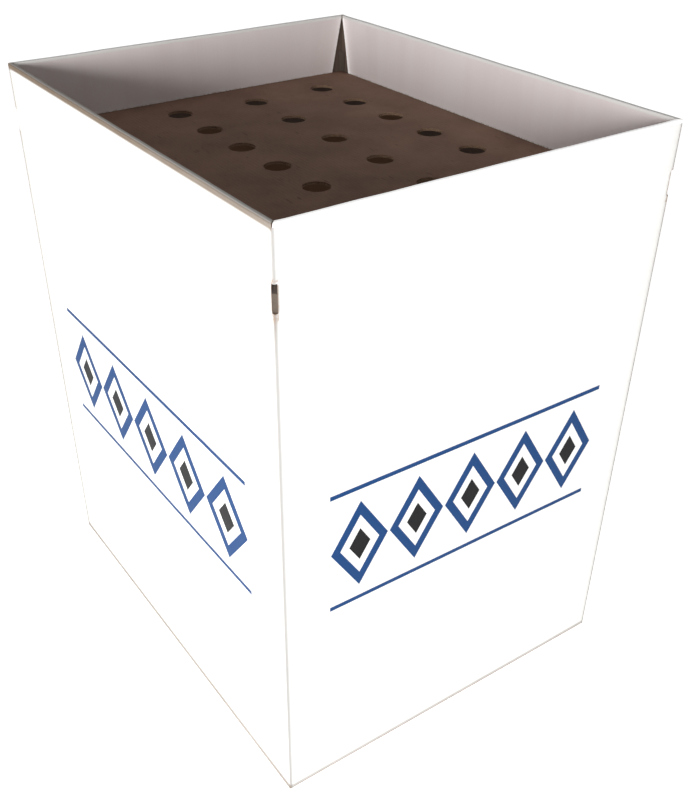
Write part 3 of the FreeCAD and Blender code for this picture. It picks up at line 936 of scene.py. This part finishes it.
def fin_layer(sign_x, sign_y, near, far):
    """Points and faces of one layer of a fin, between two distances from the diagonal."""
    out = Vector((sign_x, sign_y, 0)).normalized()
    aside = Vector((-out.y, out.x, 0))
    corner = Vector((sign_x * HALF_X, sign_y * HALF_Y, 0))
    foot = SHELF_TOP - INSERT
    section = [(FIN_BACK, foot), (FIN_TIP, foot), (FIN_TIP, FIN_TIP_TOP), FIN_BREAK, (FIN_BACK, FIN_BACK_TOP)]
    places = []
    for off in (near, far):
        for reach, z in section:
            splay = FIN_SPLAY * max(0.0, reach - FIN_SPLAY_START) if abs(off) > FIN_SEAM else 0.0
            off_here = off + math.copysign(splay, off)
            places.append(corner - out * reach + aside * off_here + Vector((0, 0, z)))
    count = len(section)
    faces = [tuple(range(count)), tuple(reversed(range(count, 2 * count)))]
    for step in range(count):
        after = (step + 1) % count
        faces.append((after, step, count + step, count + after))
    return places, faces


fin_places, fin_faces = [], []
for sign_x in (-1, 1):
    for sign_y in (-1, 1):
        for near, far in ((-FIN_WIDTH / 2, -FIN_SEAM / 2), (FIN_SEAM / 2, FIN_WIDTH / 2)):
            places, faces = fin_layer(sign_x, sign_y, near, far)
            fin_faces += [tuple(len(fin_places) + corner for corner in face) for face in faces]
            fin_places += places
fin_mesh = bpy.data.meshes.new("shelf_fins")
fin_mesh.from_pydata([place * MM for place in fin_places], [], fin_faces)
fin_mesh.materials.append(fin_kraft)
fin_mesh.materials.append(fin_shade)
# Faces that look up get the darker painted shade.
for face in fin_mesh.polygons:
    face.material_index = int(face.normal.z > 0.3)
fins = placed("shelf_fins", fin_mesh)
print("fins:", len(fin_faces), "faces")

# %% [markdown]
# ## Flutes in the punched holes
# Where a hole cuts through board, the wavy core shows between the two papers. It repeats at every hole,
# which is work for Geometry Nodes: a thin flat ring is instanced on the hole centres, made real, and
# lifted by a sine of its place across the flutes, so that the wave runs on from hole to hole.

# %% A node tree for the wavy rings
RING_SETBACK = 0.0003  # the core's edge stands this far behind the papers' edges


def flute_tree():
    group = bpy.data.node_groups.new("flutes_in_holes", "GeometryNodeTree")
    group.interface.new_socket("Geometry", in_out="INPUT", socket_type="NodeSocketGeometry")
    wanted = (("hole_radius", HOLE_RADIUS * MM), ("ring_width", 0.0012), ("paper", 0.0003))
    for name, value in (*wanted, ("pitch", INSERT_PITCH), ("rise", 0.0013)):
        socket = group.interface.new_socket(name, in_out="INPUT", socket_type="NodeSocketFloat")
        socket.default_value = value
    group.interface.new_socket("finish", in_out="INPUT", socket_type="NodeSocketMaterial")
    group.interface.new_socket("Geometry", in_out="OUTPUT", socket_type="NodeSocketGeometry")
    tree = Tree(group)
    sizes = group.nodes.new("NodeGroupInput")
    given = {socket.name: Value(tree, socket) for socket in sizes.outputs if socket.name}
    radius = given["hole_radius"] + RING_SETBACK
    circle = tree.node("GeometryNodeMeshCircle", {"fill_type": "NONE"}, {"Vertices": 72, "Radius": radius})
    place = tree.node("GeometryNodeInputPosition")
    outwards = tree.node("ShaderNodeVectorMath", {"operation": "NORMALIZE"}, {0: place})
    ring = tree.node(
        "GeometryNodeExtrudeMesh", {"mode": "EDGES"},
        {"Mesh": circle, "Offset": outwards, "Offset Scale": given["ring_width"]},
    )
    copies = tree.node("GeometryNodeInstanceOnPoints", {}, {"Points": given["Geometry"], "Instance": ring})
    real = tree.node("GeometryNodeRealizeInstances", {}, {"Geometry": copies})
    across = tree.node("ShaderNodeSeparateXYZ", {}, {"Vector": place})
    lift = (across * (2 * math.pi) / given["pitch"]).sine() * given["rise"]
    offset = tree.node("ShaderNodeCombineXYZ", {}, {"Z": lift})
    waved = tree.node("GeometryNodeSetPosition", {}, {"Geometry": real, "Offset": offset})
    straight_up = tree.node("ShaderNodeCombineXYZ", {}, {"Z": given["paper"]})
    flipped = tree.node("GeometryNodeFlipFaces", {}, {"Mesh": waved})
    thick = tree.node(
        "GeometryNodeExtrudeMesh", {"mode": "FACES"},
        {"Mesh": waved, "Offset": straight_up, "Offset Scale": 1.0, "Individual": False},
    )
    joined = group.nodes.new("GeometryNodeJoinGeometry")
    group.links.new(thick.socket, joined.inputs[0])
    group.links.new(flipped.socket, joined.inputs[0])
    both = Value(tree, joined.outputs[0])
    closed = tree.node("GeometryNodeMergeByDistance", {}, {"Geometry": both, "Distance": 0.00001})
    done = tree.node("GeometryNodeSetMaterial", {}, {"Geometry": closed, "Material": given["finish"]})
    result = group.nodes.new("NodeGroupOutput")
    group.links.new(done.socket, result.inputs[0])
    return group


def plain_mesh(carrier, group, inputs):
    """Runs a node tree on an object, keeps the mesh that it makes, and takes the modifier away."""
    modifier = carrier.modifiers.new("nodes", "NODES")
    modifier.node_group = group
    for item in group.interface.items_tree:
        if item.in_out == "INPUT" and item.name in inputs:
            modifier[item.identifier] = inputs[item.name]
    bpy.context.view_layer.update()
    evaluated = carrier.evaluated_get(bpy.context.evaluated_depsgraph_get())
    mesh = bpy.data.meshes.new_from_object(evaluated)
    carrier.modifiers.remove(modifier)
    return mesh


# %% Make the rings and hang them, with the shelf, on the root body
points = bpy.data.meshes.new("hole_centres")
points.from_pydata(
    [(x * MM, y * MM, (SHELF_TOP - INSERT / 2 - sagged(x, y)) * MM) for x, y in hole_centres], [], []
)
carrier = placed("hole_centres", points)
ring_mesh = plain_mesh(carrier, flute_tree(), {"finish": cut_board})
bpy.data.objects.remove(carrier)
print("wavy rings:", len(ring_mesh.vertices), "points", len(ring_mesh.polygons), "faces")
flutes = placed("shelf_flutes", ring_mesh)
for piece in (shelf_plate, fins, flutes):
    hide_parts("perforated_shelf")
    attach(piece, "root")

# %% [markdown]
# ## Boards below the shelf
# The egg-crate boards and the pad are flat cut boards that the measured solids already show, so they stay
# and only get the brown finish.

# %% Finish the kept boards
for name in ("long_divider", "front_cross_divider", "back_cross_divider", "base_pad"):
    kept = frame["nodes"][name]
    if not kept.material_slots:
        kept.data.materials.append(board_kraft)
    for slot in kept.material_slots:
        slot.material = board_kraft
    print(name, "now in", kept.material_slots[0].material.name)

# %% [markdown]
# ## Studio
# A pale floor that glows a little, a soft sky that is brighter near the horizon, and one large soft light
# from the front left, only a little above the rim. That low light fills the outside faces, and the near
# rims shade the lower parts of the flaps inside, which gives the inside its depth.

# %% Floor
def paint_floor(tree, shader):
    place = own_place(tree)
    cloud = tree.grain(place, 1.5, 3.0)
    link(shader, "Base Color", tree.blend(cloud, color("#f2f2f2"), color("#f7f7f6")))
    shader.inputs["Roughness"].default_value = 0.9
    shader.inputs["Emission Color"].default_value = (1, 1, 1, 1)
    shader.inputs["Emission Strength"].default_value = 0.85


FLOOR_REACH = 12
floor_mesh = bpy.data.meshes.new("floor")
floor_corners = [(x * FLOOR_REACH, y * FLOOR_REACH, 0) for x, y in ((-1, -1), (1, -1), (1, 1), (-1, 1))]
floor_mesh.from_pydata(floor_corners, [], [(0, 1, 2, 3)])
floor_mesh.materials.append(finish_of("floor_paint", paint_floor))
floor = placed("floor", floor_mesh)

# %% Sky and key light
SKY_LOW, SKY_HIGH = 0.46, 0.24          # brightness near the horizon and overhead
KEY_PLACE, KEY_AIM = Vector((-2.65, -1.70, 1.25)), Vector((0, 0, 0.75))
KEY_SIZE, KEY_WATTS = (1.6, 0.7), 95

world = bpy.data.worlds.new("studio")
bpy.context.scene.world = world
world.use_nodes = True
sky = Tree(world.node_tree)
background = next(node for node in world.node_tree.nodes if node.type == "BACKGROUND")
direction = sky.node("ShaderNodeTexCoord", {}, {}, "Generated")
tone = sky.axes(direction)[2].ramp(0.0, 0.35, SKY_LOW, SKY_HIGH)
grey = sky.blend(tone, (0, 0, 0, 1), (1, 1, 1, 1))
link(background, "Color", grey)
background.inputs["Strength"].default_value = 1.0

key = placed("key_light", bpy.data.lights.new("key_light", "AREA"))
key.data.shape = "RECTANGLE"
key.data.size, key.data.size_y = KEY_SIZE
key.data.energy = KEY_WATTS
key.location = KEY_PLACE
key.rotation_mode = "QUATERNION"
key.rotation_quaternion = (KEY_AIM - KEY_PLACE).to_track_quat("-Z", "Y")
bpy.context.scene.view_settings.view_transform = "Standard"
